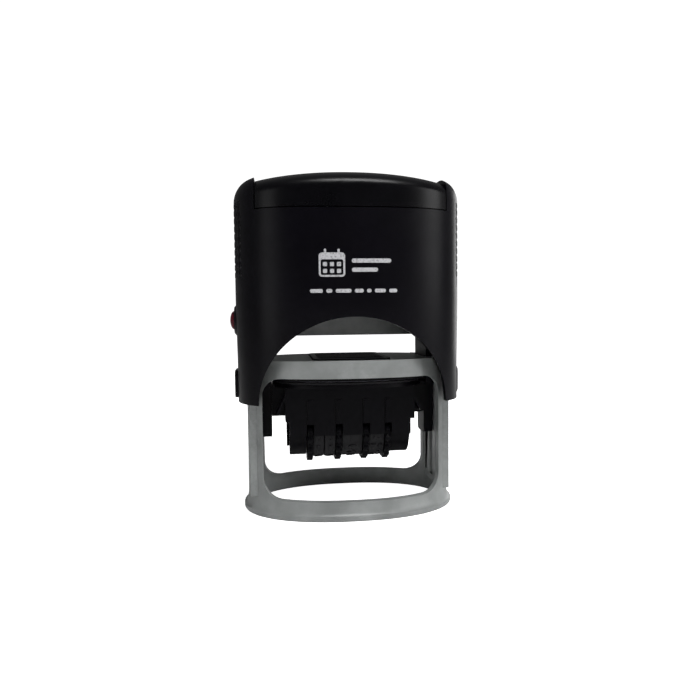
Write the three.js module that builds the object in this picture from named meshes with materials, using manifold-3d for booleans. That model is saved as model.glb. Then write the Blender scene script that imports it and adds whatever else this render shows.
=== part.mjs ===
// Self-inking rotary date stamp: an oval base frame, a casing that presses down over it on two
// springs, and a platen that turns over from the ink pad to the paper with a four-band date.
//
// Millimetres, +Z up. X runs across the width, -Y is the front. The origin is on the table at the
// centre of the base. Everything is at rest: casing up, printing face turned up against the pad.
import * as THREE from "three";
import { mergeVertices } from "three/addons/utils/BufferGeometryUtils.js";
import Module from "manifold-3d";

// ---------------------------------------------------------------- driving dimensions

const PRINT = { w: 45, d: 30 }; // oval imprint
const STROKE = 20; // how far the casing presses down
const FIT = 0.3; // gap between neighbours that slide
const SNUG = 0.1; // gap between neighbours that are fixed to each other

const OVAL = 2.25; // superellipse power of the base and the printing face
const SQUIRCLE = 3; // superellipse power of the casing
const OUTLINE_STEPS = 56;

// base frame
const FLANGE = { a: 31.3, b: 21, h: 2.5 };
const TUBE = { a: 30, b: 19.3, wall: 2.1 };
const RING_H = 5;
const WINDOW = { half: 25.4, top: 39.1, r: 5.5 };
const DECK = { top: 44, plate: 1.8, back: 12 };
const BRIDGE = { under: 57, top: 62, half: 29.6, d: 12 };
const SKIRT = { low: 50.2, y0: 8, y1: 10.5 };
const GUIDE = { x: 26, half: 9.5 };

// casing and cap
const CASE = { a: 32.6, b: 22, wall: 2, low: 32, shoulder: 88.5, top: 95 };
const ARCH = { a: 26.1, b: 24.2, z: 31.8 };
const CAP = { half: 26.1, low: 85.2, end: 94.4, crown: 96.8, wall: 1.5 };
const DOME_Z = 92.3; // where the top starts to curve in from the front and back faces
const SEAT = 89; // floor that the cap and its card sit on
const GRIP = { low: 69, pitch: 2.2, count: 9, cut: 1.1, depth: 0.6, half: 13 };
const BUTTON = { z: 55.3, r: 2.7, tip: 34.5, collar: 3.4, rim: 4.6, proud: 0.6 };
const CLIP = { half: 5, z0: 32.8, z1: 40.8, deep: 0.7, proud: 0.6 };

// yoke, which carries the platen and is fixed inside the casing
const LEG = { x0: 22.9, x1: 25.5, half: 7, low: 20.7, arm: 4, armTop: 36 };
const ROOF = { z0: 84.5, z1: 86.5, half: 10.5 };
const SPRING = { x: 14, r: 3.4, wire: 0.35, turns: 6, z0: 58.6 };

// platen and date works
const AXLE_R = 1.6;
const FACE_Z = 37.5; // printing face at rest
const AXLE_Z = (FACE_Z + STROKE) / 2; // a half turn and one stroke bring the face to the table
const SHAFT = { z: 21.3, r: 1.45, half: 18.2 };
const DISC = { r: 8.5, w: 1.7, teeth: 16, tooth: 0.7 };
const DRUM_R = 6.2;
const BAND = { inner: 6.5, thick: 0.6, block: 0.4, blocks: 12 };
const CAP_KNOB = { r: 4, lobes: 12 };
const NOSE = { r: 1.5, half: 13.2, pin: 0.7, pinHalf: 15 };
const NOSE_Z = FACE_Z - NOSE.r - FIT - BAND.thick - BAND.block;
const BODY = { half: 17.7, d: 8.9, wall: 1, z0: 21.6, z1: 35.7, step: 18.9, stepZ: 26 };
const CHEEK = { inner: 13.7, r: 6.6 };
const WING = { out: 22.3, z: 27.7, d: 5, hub: 0.7 };
const DIE = { z0: 35.8, z1: 36.9 };
const DATE = { half: 13.4, d: 3.3 };
const DATE_WHEELS = [
  { name: "day_tens", from: -10.9, to: -7.65, discSide: -1 },
  { name: "day_units", from: -7.55, to: -4.25, discSide: 1 },
  { name: "month", from: -2.45, to: 3.75, discSide: 1 },
  { name: "year", from: 5.55, to: 10.2, discSide: 1 },
];

// ink pad
const PAD = { half: 22.3, front: 17, back: 19.3, felt: 37.7, plate: 40.9 };
const GRIP_PAD = { half: 10.8, front: 16.8, top: 44.4 };

// ---------------------------------------------------------------- materials

const plastic = (color, roughness) =>
  new THREE.MeshStandardMaterial({ color, roughness, metalness: 0 });
const metal = (color, roughness) =>
  new THREE.MeshStandardMaterial({ color, roughness, metalness: 1 });

const FINISH = {
  casing: () => plastic(0x141318, 0.5),
  cap: () => plastic(0x0b0b0d, 0.12),
  frame: () => plastic(0x787c7b, 0.45),
  works: () => plastic(0x0f0e12, 0.4),
  red: () => plastic(0x7a1626, 0.35),
  band: () => plastic(0x1c1b1f, 0.7),
  rubber: () => plastic(0x1f1d20, 0.8),
  felt: () => plastic(0x16161c, 0.95),
  card: () => plastic(0xd8d8d2, 0.8),
  steel: () => metal(0xb9bcc0, 0.3),
};

// ---------------------------------------------------------------- solids

const wasm = await Module();
wasm.setup();

// A closed geometry as a solid that can be joined and cut.
function solid(geometry) {
  const bare = geometry.index ? geometry.toNonIndexed() : geometry.clone();
  bare.deleteAttribute("normal");
  bare.deleteAttribute("uv");
  const merged = mergeVertices(bare, 1e-4);
  return new wasm.Manifold(
    new wasm.Mesh({
      numProp: 3,
      vertProperties: new Float32Array(merged.attributes.position.array),
      triVerts: new Uint32Array(merged.index.array),
    }),
  );
}

function geometryOf(body) {
  const mesh = body.getMesh();
  const geometry = new THREE.BufferGeometry();
  geometry.setAttribute("position", new THREE.BufferAttribute(mesh.vertProperties, 3));
  geometry.setIndex(new THREE.BufferAttribute(mesh.triVerts, 1));
  return geometry;
}

const join = (first, ...rest) => rest.reduce((sum, next) => sum.add(next), first);
const cut = (first, ...rest) => rest.reduce((left, next) => left.subtract(next), first);

// Box from ranges [low, high] along each axis.
function box([x0, x1], [y0, y1], [z0, z1]) {
  const geometry = new THREE.BoxGeometry(x1 - x0, y1 - y0, z1 - z0);
  geometry.translate((x0 + x1) / 2, (y0 + y1) / 2, (z0 + z1) / 2);
  return solid(geometry);
}

// The same box on both sides of the middle plane.
const boxes = ([x0, x1], y, z) => join(box([x0, x1], y, z), box([-x1, -x0], y, z));

const extrude = (shape, depth) =>
  new THREE.ExtrudeGeometry(shape, { depth, bevelEnabled: false, curveSegments: 9 });

// Shapes drawn in plan, in front view (x, z) and in side view (y, z), extruded between two values.
function prismZ(shape, z0, z1) {
  return solid(extrude(shape, z1 - z0).translate(0, 0, z0));
}

function prismY(shape, y0, y1) {
  const turn = new THREE.Matrix4().makeBasis(
    new THREE.Vector3(1, 0, 0),
    new THREE.Vector3(0, 0, 1),
    new THREE.Vector3(0, -1, 0),
  );
  return solid(extrude(shape, y1 - y0).applyMatrix4(turn).translate(0, y1, 0));
}

function prismX(shape, x0, x1) {
  const turn = new THREE.Matrix4().makeBasis(
    new THREE.Vector3(0, 1, 0),
    new THREE.Vector3(0, 0, 1),
    new THREE.Vector3(1, 0, 0),
  );
  return solid(extrude(shape, x1 - x0).applyMatrix4(turn).translate(x0, 0, 0));
}

// Round bar along X.
function barX(r, x0, x1, z, steps = 28) {
  const geometry = new THREE.CylinderGeometry(r, r, x1 - x0, steps);
  return solid(geometry.rotateZ(Math.PI / 2).translate((x0 + x1) / 2, 0, z));
}

// The same bar along X on both sides of the middle plane.
const barsX = (r, from, to, z) => join(barX(r, from, to, z), barX(r, -to, -from, z));

// Round bar along Z.
function barZ(r, x, z0, z1, steps = 20) {
  const geometry = new THREE.CylinderGeometry(r, r, z1 - z0, steps);
  return solid(geometry.rotateX(Math.PI / 2).translate(x, 0, (z0 + z1) / 2));
}

// ---------------------------------------------------------------- outlines

// Superellipse |x/a|^n + |y/b|^n = 1.
function oval(a, b, n = OVAL) {
  const points = [];
  for (let i = 0; i < OUTLINE_STEPS; i++) {
    const t = (2 * Math.PI * i) / OUTLINE_STEPS;
    const [c, s] = [Math.cos(t), Math.sin(t)];
    const x = a * Math.sign(c) * Math.abs(c) ** (2 / n);
    const y = b * Math.sign(s) * Math.abs(s) ** (2 / n);
    points.push(new THREE.Vector2(x, y));
  }
  return new THREE.Shape(points);
}

function roundedRect(x0, x1, y0, y1, r) {
  const shape = new THREE.Shape();
  shape.absarc(x1 - r, y0 + r, r, -Math.PI / 2, 0);
  shape.absarc(x1 - r, y1 - r, r, 0, Math.PI / 2);
  shape.absarc(x0 + r, y1 - r, r, Math.PI / 2, Math.PI);
  shape.absarc(x0 + r, y0 + r, r, Math.PI, 1.5 * Math.PI);
  return shape;
}

// Front view of the casing: straight sides and rounded shoulders up to a flat top.
function caseFront() {
  const shape = new THREE.Shape();
  const rise = CASE.top - CASE.shoulder;
  shape.moveTo(-CASE.a - 1, CASE.low);
  shape.lineTo(CASE.a + 1, CASE.low);
  shape.lineTo(CASE.a + 1, CASE.shoulder);
  shape.absellipse(CASE.a + 1 - rise, CASE.shoulder, rise, rise, 0, Math.PI / 2);
  shape.absellipse(-CASE.a - 1 + rise, CASE.shoulder, rise, rise, Math.PI / 2, Math.PI);
  return shape;
}

// Front view of the cap: a shallow dome on upright ends.
function capFront() {
  const rise = CAP.crown - CAP.end;
  const r = (CAP.half ** 2 + rise ** 2) / (2 * rise);
  const angle = Math.asin(CAP.half / r);
  const shape = new THREE.Shape();
  shape.moveTo(-CAP.half, CAP.low);
  shape.lineTo(CAP.half, CAP.low);
  shape.absarc(0, CAP.crown - r, r, Math.PI / 2 - angle, Math.PI / 2 + angle);
  return shape;
}

// All that lies under the domed top, in side view (y, z).
function underDome() {
  const shape = new THREE.Shape();
  shape.moveTo(-CASE.b - SNUG, 0);
  shape.lineTo(CASE.b + SNUG, 0);
  shape.absellipse(0, DOME_Z, CASE.b + SNUG, CAP.crown - DOME_Z, 0, Math.PI);
  return prismX(shape, -CASE.a - 1, CASE.a + 1);
}

// Arch through the casing's front, in front view, open at the bottom.
function archFront() {
  const shape = new THREE.Shape();
  shape.moveTo(-ARCH.a, CASE.low - 5);
  shape.lineTo(ARCH.a, CASE.low - 5);
  shape.absellipse(0, ARCH.z, ARCH.a, ARCH.b, 0, Math.PI);
  return shape;
}

// Loop of a band round its drum and the nose bar, in side view (y, z), offset outwards by grow.
function bandLoop(grow) {
  const [big, small] = [BAND.inner + grow, NOSE.r + FIT + grow];
  const tilt = Math.asin((big - small) / (NOSE_Z - SHAFT.z));
  const shape = new THREE.Shape();
  shape.absarc(0, SHAFT.z, big, Math.PI - tilt, 2 * Math.PI + tilt);
  shape.absarc(0, NOSE_Z, small, tilt, Math.PI - tilt);
  return shape;
}

// Toothed disc in side view, about its own centre.
function toothedDisc() {
  const points = [];
  for (let i = 0; i < DISC.teeth; i++) {
    const step = (2 * Math.PI) / DISC.teeth;
    const corners = [
      [0, 0],
      [0.18, DISC.tooth],
      [0.62, DISC.tooth],
      [0.8, 0],
    ];
    for (const [along, up] of corners) {
      const t = (i + along) * step;
      const r = DISC.r - DISC.tooth + up;
      points.push(new THREE.Vector2(r * Math.cos(t), SHAFT.z + r * Math.sin(t)));
    }
  }
  return new THREE.Shape(points);
}

// ---------------------------------------------------------------- base frame and ink pad

const legSlots = (z0, z1) =>
  boxes([LEG.x0 - FIT, LEG.x1 + FIT], [-LEG.half - FIT, LEG.half + FIT], [z0, z1]);

// Lower shell: flange, oval tube with a wide window front and back, and the guides in its sides.
function frameShell() {
  const bore = prismZ(oval(TUBE.a - TUBE.wall, TUBE.b - TUBE.wall), -1, DECK.top + 1);
  const outside = join(
    prismZ(oval(FLANGE.a, FLANGE.b), 0, FLANGE.h),
    prismZ(oval(TUBE.a, TUBE.b), 0, DECK.top),
  );
  const side = boxes([GUIDE.x, TUBE.a - 1], [-GUIDE.half, GUIDE.half], [RING_H, DECK.top]);
  const windowShape = roundedRect(-WINDOW.half, WINDOW.half, RING_H, WINDOW.top, WINDOW.r);
  const windows = prismY(windowShape, -FLANGE.b - 1, FLANGE.b + 1);
  const pinGroove = boxes(
    [GUIDE.x - 1, GUIDE.x + 1.6],
    [-AXLE_R - FIT, AXLE_R + FIT],
    [AXLE_Z - STROKE - AXLE_R - FIT, AXLE_Z + AXLE_R + FIT],
  );
  return cut(cut(outside, bore, windows).add(side), pinGroove);
}

// Deck over the pad bay. The bay and the grip's channel are open at the back.
function frameDeck() {
  const inside = prismZ(oval(TUBE.a - 1, TUBE.b - 1), WINDOW.top, DECK.top);
  const bay = box(
    [-PAD.half - FIT, PAD.half + FIT],
    [-FLANGE.b, FLANGE.b],
    [WINDOW.top - 1, DECK.top - DECK.plate],
  );
  const behind = box(
    [-PAD.half - FIT, PAD.half + FIT],
    [DECK.back, FLANGE.b],
    [WINDOW.top - 1, DECK.top + 1],
  );
  const channel = box(
    [-GRIP_PAD.half - FIT, GRIP_PAD.half + FIT],
    [-GRIP_PAD.front - FIT, FLANGE.b],
    [WINDOW.top, DECK.top + 1],
  );
  return cut(inside, bay, behind, channel, legSlots(WINDOW.top - 1, DECK.top + 1));
}

// Upper bridge that the springs stand on, on a post at each side, with a skirt at the back.
function frameBridge() {
  const outline = prismZ(oval(BRIDGE.half, TUBE.b, SQUIRCLE), DECK.top - 1, BRIDGE.top);
  const reach = [-BRIDGE.d, BRIDGE.d];
  const plate = box([-BRIDGE.half, BRIDGE.half], reach, [BRIDGE.under, BRIDGE.top]);
  const skirt = box([-BRIDGE.half, BRIDGE.half], [SKIRT.y0, SKIRT.y1], [SKIRT.low, BRIDGE.under]);
  const posts = boxes(
    [LEG.x1 + FIT, BRIDGE.half],
    [-SKIRT.y1, SKIRT.y1],
    [DECK.top - 1, BRIDGE.under],
  );
  const wells = [-1, 1].map((side) =>
    barZ(SPRING.r + 0.8, side * SPRING.x, SPRING.z0 - SNUG, BRIDGE.top + 1),
  );
  const whole = join(plate, skirt, posts).intersect(outline);
  return cut(whole, legSlots(DECK.top - 2, BRIDGE.top + 1), ...wells);
}

function baseFrame() {
  const rearDoor = box(
    [-PAD.half - FIT, PAD.half + FIT],
    [1, FLANGE.b + 1],
    [WINDOW.top - 1, DECK.top + 1],
  );
  return join(cut(frameShell(), rearDoor), frameDeck(), frameBridge());
}

// Pad tray, open downwards, with a ribbed thumb grip on top and a deep handle at the back.
function inkCartridge() {
  const top = DECK.top - DECK.plate - FIT;
  const front = prismZ(oval(TUBE.a - TUBE.wall - FIT, PAD.front), PAD.felt + 0.5, top);
  const back = prismZ(oval(TUBE.a, PAD.back), PAD.felt + 0.5, DECK.top - SNUG);
  const wide = [-PAD.half, PAD.half];
  const frontHalf = front.intersect(box(wide, [-PAD.front - 1, DECK.back + 2 * FIT], [0, top]));
  const handle = back.intersect(box(wide, [DECK.back + FIT, PAD.back + 1], [0, DECK.top]));
  const hollow = prismZ(oval(PAD.half + 6, PRINT.d / 2 + 0.6), 0, PAD.plate);
  const gripOutline = join(
    prismZ(oval(TUBE.a - TUBE.wall - FIT, GRIP_PAD.front), PAD.plate + 0.5, GRIP_PAD.top),
    box([-PAD.half, PAD.half], [0, PAD.back], [PAD.plate + 0.5, GRIP_PAD.top]),
  );
  const grip = gripOutline.intersect(
    box([-GRIP_PAD.half, GRIP_PAD.half], [-PAD.front, DECK.back + 1], [0, GRIP_PAD.top]),
  );
  const dip = box(
    [-GRIP_PAD.half + 1.5, GRIP_PAD.half - 1.5],
    [-GRIP_PAD.front + 3, DECK.back - 3],
    [DECK.top - 0.8, GRIP_PAD.top + 1],
  );
  const ribs = [-8, -4, 0, 4, 8].map((y) =>
    box([-GRIP_PAD.half + 1, GRIP_PAD.half - 1], [y - 0.6, y + 0.6], [DECK.top - 1, GRIP_PAD.top]),
  );
  return join(cut(cut(frontHalf.add(handle), hollow).add(grip), dip), ...ribs);
}

const inkFelt = () =>
  prismZ(oval(PRINT.w / 2 - 0.3, PRINT.d / 2 + 0.2), PAD.felt, PAD.plate - SNUG);

function returnSpring(side) {
  const height = ROOF.z0 - SNUG - SPRING.z0 - 2 * SPRING.wire;
  class Helix extends THREE.Curve {
    getPoint(t) {
      const a = 2 * Math.PI * SPRING.turns * t;
      return new THREE.Vector3(
        side * SPRING.x + SPRING.r * Math.cos(a),
        SPRING.r * Math.sin(a),
        SPRING.z0 + SPRING.wire + height * t,
      );
    }
  }
  const wire = new THREE.Shape();
  wire.absarc(0, 0, SPRING.wire, 0, 2 * Math.PI);
  return new THREE.ExtrudeGeometry(wire, {
    steps: SPRING.turns * 11,
    curveSegments: 3,
    bevelEnabled: false,
    extrudePath: new Helix(),
  });
}

// ---------------------------------------------------------------- casing

// Grooves round the upper sides, cut a little way into the casing's outline.
function gripGrooves() {
  const core = prismZ(oval(CASE.a - GRIP.depth, CASE.b - GRIP.depth, SQUIRCLE), 0, CASE.top);
  const slots = [];
  for (let i = 0; i < GRIP.count; i++) {
    const z = GRIP.low + i * GRIP.pitch;
    slots.push(boxes([CASE.a / 2, CASE.a + 2], [-GRIP.half, GRIP.half], [z, z + GRIP.cut]));
  }
  return cut(join(...slots), core);
}

// Holes for the two push buttons, each wider inside, where its collar sits.
function buttonHoles() {
  const lip = CASE.a - 0.2;
  return join(
    barsX(BUTTON.r + FIT, lip - 1, CASE.a + 3, BUTTON.z),
    barsX(BUTTON.collar + FIT, CASE.a - CASE.wall - 3, lip, BUTTON.z),
  );
}

function casing() {
  const block = prismY(caseFront(), -CASE.b - 1, CASE.b + 1);
  const outline = prismZ(oval(CASE.a, CASE.b, SQUIRCLE), 0, CASE.top + 1);
  const body = block.intersect(outline).intersect(underDome());
  const w = CASE.wall;
  const cavity = join(
    prismZ(oval(CASE.a - w, CASE.b - w, SQUIRCLE), 0, ROOF.z0 - 1),
    prismZ(oval(CASE.a - 2 * w, CASE.b - 2 * w, SQUIRCLE), 0, SEAT - w),
  );
  const capSide = [-CAP.half - FIT, CAP.half + FIT];
  const capRoom = box(capSide, [-CASE.b - 1, CASE.b + 1], [SEAT, CASE.top + 1]);
  const capOutline = prismZ(oval(CASE.a - 1.5, CASE.b - 1.5, SQUIRCLE), 0, CASE.top + 1);
  const apronBand = box(capSide, [-CASE.b - 1, CASE.b + 1], [CAP.low - FIT, CASE.top + 1]);
  const apronRoom = cut(apronBand, capOutline);
  const front = prismY(archFront(), -CASE.b - 1, 0);
  const backShape = roundedRect(-ARCH.a, ARCH.a, CASE.low - 20, ARCH.z + ARCH.b, 6);
  const back = prismY(backShape, 0, CASE.b + 1);
  const clipRoom = boxes(
    [CASE.a - CLIP.deep - SNUG, CASE.a + 1],
    [-CLIP.half - SNUG, CLIP.half + SNUG],
    [CLIP.z0 - SNUG, CLIP.z1 + SNUG],
  );
  const rims = barsX(BUTTON.rim, CASE.a - 1, CASE.a + BUTTON.proud, BUTTON.z);
  const shell = join(cut(body, cavity, capRoom, apronRoom), rims);
  return cut(shell, front, back, clipRoom, buttonHoles(), gripGrooves());
}

function indexWindow() {
  const outline = prismZ(oval(CASE.a, CASE.b - SNUG / 2, SQUIRCLE), 0, CAP.crown + 1);
  const front = prismY(capFront(), -CASE.b - 1, CASE.b + 1);
  const outside = front.intersect(outline).intersect(underDome());
  const inset = CAP.wall - SNUG;
  const skirtRoom = prismZ(oval(CASE.a - inset, CASE.b - inset, SQUIRCLE), 0, SEAT + SNUG);
  const hollow = prismZ(oval(CASE.a - inset, CASE.b - inset, SQUIRCLE), 0, CAP.end - CAP.wall);
  const between = box(
    [-CAP.half + CAP.wall, CAP.half - CAP.wall],
    [-CASE.b, CASE.b],
    [0, CAP.crown],
  );
  return cut(outside, skirtRoom, hollow.intersect(between));
}

function indexCard() {
  const outline = prismZ(oval(CASE.a - 2.2, CASE.b - 2.2, SQUIRCLE), SEAT, SEAT + 0.4);
  const middle = [-CAP.half + CAP.wall + FIT, CAP.half - CAP.wall - FIT];
  return outline.intersect(box(middle, [-CASE.b, CASE.b], [SEAT, SEAT + 0.4]));
}

// Legs beside the platen, a roof under the casing's top and a spigot inside each spring.
function yoke() {
  const legs = join(
    boxes([LEG.x0, LEG.x1], [-LEG.half, LEG.half], [LEG.armTop, ROOF.z1]),
    boxes([LEG.x0, LEG.x1], [-LEG.arm, LEG.arm], [LEG.low, LEG.armTop + 1]),
  );
  const roof = box([-LEG.x1, LEG.x1], [-ROOF.half, ROOF.half], [ROOF.z0, ROOF.z1]);
  const spigots = [-1, 1].map((side) => barZ(2.2, side * SPRING.x, ROOF.z0 - 4.5, ROOF.z1));
  const axleHole = barX(AXLE_R + FIT, -LEG.x1 - 1, LEG.x1 + 1, AXLE_Z);
  return cut(join(legs, roof, ...spigots), axleHole);
}

function sideClip(side) {
  const [inner, outer] = [CASE.a - CLIP.deep, CASE.a + CLIP.proud];
  const x = side < 0 ? [-outer, -inner] : [inner, outer];
  return box(x, [-CLIP.half, CLIP.half], [CLIP.z0, CLIP.z1]);
}

// Push button with a collar that keeps it in the wall. crown is how far its tip rises.
function pushButton(side, crown) {
  const inner = CASE.a - 0.8;
  const collar = inner + 0.5;
  const profile = [
    [0, inner],
    [BUTTON.collar, inner],
    [BUTTON.collar, collar],
    [BUTTON.r, collar],
    [BUTTON.r, BUTTON.tip - crown],
    [BUTTON.r * 0.75, BUTTON.tip - crown * 0.45],
    [BUTTON.r * 0.4, BUTTON.tip - crown * 0.1],
    [0, BUTTON.tip],
  ].map(([r, x]) => new THREE.Vector2(r, x));
  const geometry = new THREE.LatheGeometry(profile, 28);
  geometry.rotateZ(side < 0 ? Math.PI / 2 : -Math.PI / 2);
  return solid(geometry.translate(0, 0, BUTTON.z));
}

// ---------------------------------------------------------------- platen and date works

// Date works' housing: end cheeks, front and back walls slotted for the discs, a slotted top,
// and a wing at each side out to the yoke.
function mechanismHousing() {
  const wallY = BODY.d - BODY.wall;
  const shell = cut(
    box([-BODY.half, BODY.half], [-BODY.d, BODY.d], [BODY.z0, BODY.z1]),
    box([-CHEEK.inner, CHEEK.inner], [-wallY, wallY], [0, BODY.z1 - BODY.wall]),
    box([-DATE.half, DATE.half], [-DATE.d, DATE.d], [0, FACE_Z]),
  );
  const cheeks = boxes([CHEEK.inner, BODY.half], [-CHEEK.r, CHEEK.r], [SHAFT.z, BODY.z1]);
  const firstDisc = discSpan(DATE_WHEELS[0])[0];
  const lastDisc = discSpan(DATE_WHEELS.at(-1))[1];
  const ends = join(
    barX(CHEEK.r, -BODY.half, firstDisc - FIT, SHAFT.z),
    barX(CHEEK.r, lastDisc + FIT, BODY.half, SHAFT.z),
  );
  const steps = boxes([BODY.half - 1, BODY.step], [-BODY.d, BODY.d], [BODY.stepZ, BODY.z1]);
  const wings = boxes([BODY.step - 1, WING.out], [-WING.d, WING.d], [WING.z, BODY.z1]);
  const hubs = barsX(AXLE_R + WING.hub, BODY.step - 1, WING.out, AXLE_Z);
  const discSlots = DATE_WHEELS.map((wheel) => {
    const [from, to] = discSpan(wheel);
    return box([from - FIT, to + FIT], [-BODY.d - 1, BODY.d + 1], [0, SHAFT.z + DISC.r + 0.6]);
  });
  const bores = join(
    barX(SHAFT.r + SNUG, -BODY.half - 1, BODY.half + 1, SHAFT.z),
    barX(NOSE.pin + SNUG, -NOSE.pinHalf - SNUG, NOSE.pinHalf + SNUG, NOSE_Z),
    barsX(AXLE_R + SNUG, BODY.half - 1, WING.out + 1, AXLE_Z),
  );
  return cut(join(shell, cheeks, ends, steps, wings, hubs), bores, ...discSlots);
}

const dateOpening = () => box([-DATE.half, DATE.half], [-DATE.d, DATE.d], [0, FACE_Z + 1]);

const diePlate = () => cut(prismZ(oval(PRINT.w / 2 - 0.1, PRINT.d / 2), DIE.z0, DIE.z1), dateOpening());

// Rubber face: a thin sheet with a raised border round the edge and round the date.
function textRubber() {
  const [a, b] = [PRINT.w / 2 - 0.2, PRINT.d / 2 - 0.1];
  const [low, mid] = [DIE.z1 + SNUG, FACE_Z - 0.25];
  const sheet = prismZ(oval(a, b), low, FACE_Z);
  const trough = prismZ(oval(a - 1, b - 1), mid, FACE_Z + 1);
  const inset = 1;
  const border = box(
    [-DATE.half - inset, DATE.half + inset],
    [-DATE.d - inset, DATE.d + inset],
    [low, FACE_Z],
  );
  return cut(join(cut(sheet, trough), border), dateOpening());
}

function axlePin(side) {
  const [from, to] = [BODY.half + 1 + SNUG, GUIDE.x + 1.3];
  return side < 0 ? barX(AXLE_R, -to, -from, AXLE_Z) : barX(AXLE_R, from, to, AXLE_Z);
}

// Where a wheel's toothed disc lies along X, beside its drum.
function discSpan({ from, to, discSide }) {
  return discSide < 0 ? [from - DISC.w, from] : [to, to + DISC.w];
}

function dateWheel(wheel) {
  const [d0, d1] = discSpan(wheel);
  const disc = prismX(toothedDisc(), d0, d1);
  const drum = barX(DRUM_R, Math.min(d0, wheel.from), Math.max(d1, wheel.to), SHAFT.z);
  return cut(disc.add(drum), barX(SHAFT.r + SNUG, d0 - 20, d1 + 20, SHAFT.z));
}

// Smooth bar that turns the bands at the printing face, on a thinner pin at each end.
function bandNoseBar() {
  const pin = barX(NOSE.pin, -NOSE.pinHalf, NOSE.pinHalf, NOSE_Z);
  return pin.add(barX(NOSE.r, -NOSE.half, NOSE.half, NOSE_Z));
}

// Endless band with raised character blocks, round the drum and the nose bar.
function dateBand({ from, to }) {
  const gap = 0.15;
  const [x0, x1] = [from + gap, to - gap];
  const belt = prismX(bandLoop(BAND.thick), x0, x1);
  const crown = prismX(bandLoop(BAND.thick + BAND.block), x0 + 0.2, x1 - 0.2);
  const blocks = [];
  for (let i = 0; i < BAND.blocks; i++) {
    blocks.push(bandBlock(i / BAND.blocks, x0, x1));
  }
  const raised = crown.intersect(join(...blocks));
  return cut(belt.add(raised), prismX(bandLoop(0), x0 - 1, x1 + 1));
}

// A bar that reaches from the band's inside past its face, at a share of the way round the loop.
function bandBlock(share, x0, x1) {
  const outline = bandLoop(BAND.thick).getSpacedPoints(240);
  const at = outline[Math.round(share * 240) % 240];
  const next = outline[(Math.round(share * 240) + 1) % 240];
  const along = Math.atan2(next.y - at.y, next.x - at.x);
  const block = new THREE.BoxGeometry(x1 - x0, 3, 1.6);
  return solid(block.rotateX(along).translate((x0 + x1) / 2, at.x, at.y));
}

function shaftCap(side) {
  const points = [];
  for (let i = 0; i < 2 * CAP_KNOB.lobes; i++) {
    const t = (Math.PI * i) / CAP_KNOB.lobes;
    const r = i % 2 ? CAP_KNOB.r - 0.5 : CAP_KNOB.r;
    points.push(new THREE.Vector2(r * Math.cos(t), SHAFT.z + r * Math.sin(t)));
  }
  const [from, to] = [BODY.half + SNUG, SHAFT.half + 0.3];
  const x = side < 0 ? [-to, -from] : [from, to];
  const pocket = barX(SHAFT.r + SNUG, -SHAFT.half - 0.05, SHAFT.half + 0.05, SHAFT.z);
  return cut(prismX(new THREE.Shape(points), ...x), pocket);
}

// ---------------------------------------------------------------- scene graph

const stamp = new THREE.Group();

function add(name, shape, finish, parent = stamp) {
  const geometry = shape.isBufferGeometry ? shape : geometryOf(shape);
  const mesh = new THREE.Mesh(geometry, FINISH[finish]());
  mesh.name = name;
  parent.add(mesh);
}

add("base_frame", baseFrame(), "frame");
add("ink_cartridge", inkCartridge(), "works");
add("ink_felt", inkFelt(), "felt");
add("return_spring_left", returnSpring(-1), "steel");
add("return_spring_right", returnSpring(1), "steel");

const moving = new THREE.Group(); // all that presses down
stamp.add(moving);
add("casing", casing(), "casing", moving);
add("yoke", yoke(), "works", moving);
add("index_window", indexWindow(), "cap", moving);
add("index_card", indexCard(), "card", moving);
add("side_clip_left", sideClip(-1), "casing", moving);
add("side_clip_right", sideClip(1), "casing", moving);
add("lock_button", pushButton(-1, 1.2), "red", moving);
add("release_button", pushButton(1, 1.8), "works", moving);

const platen = new THREE.Group(); // all that turns over
moving.add(platen);
add("mechanism_housing", mechanismHousing(), "works", platen);
add("die_plate", diePlate(), "works", platen);
add("text_rubber", textRubber(), "rubber", platen);
add("axle_pin_left", axlePin(-1), "steel", platen);
add("axle_pin_right", axlePin(1), "steel", platen);
add("setting_shaft", barX(SHAFT.r, -SHAFT.half, SHAFT.half, SHAFT.z), "steel", platen);
add("shaft_cap_left", shaftCap(-1), "works", platen);
add("shaft_cap_right", shaftCap(1), "works", platen);
add("band_nose_bar", bandNoseBar(), "works", platen);
for (const wheel of DATE_WHEELS) {
  add(`${wheel.name}_wheel`, dateWheel(wheel), "works", platen);
  add(`${wheel.name}_band`, dateBand(wheel), "band", platen);
}

export default stamp;
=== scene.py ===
"""Looks of a self-inking rotary date stamp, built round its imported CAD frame. Metres, +Z up."""

import math

import bmesh
import bpy
from mathutils import Matrix, Vector, noise

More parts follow.
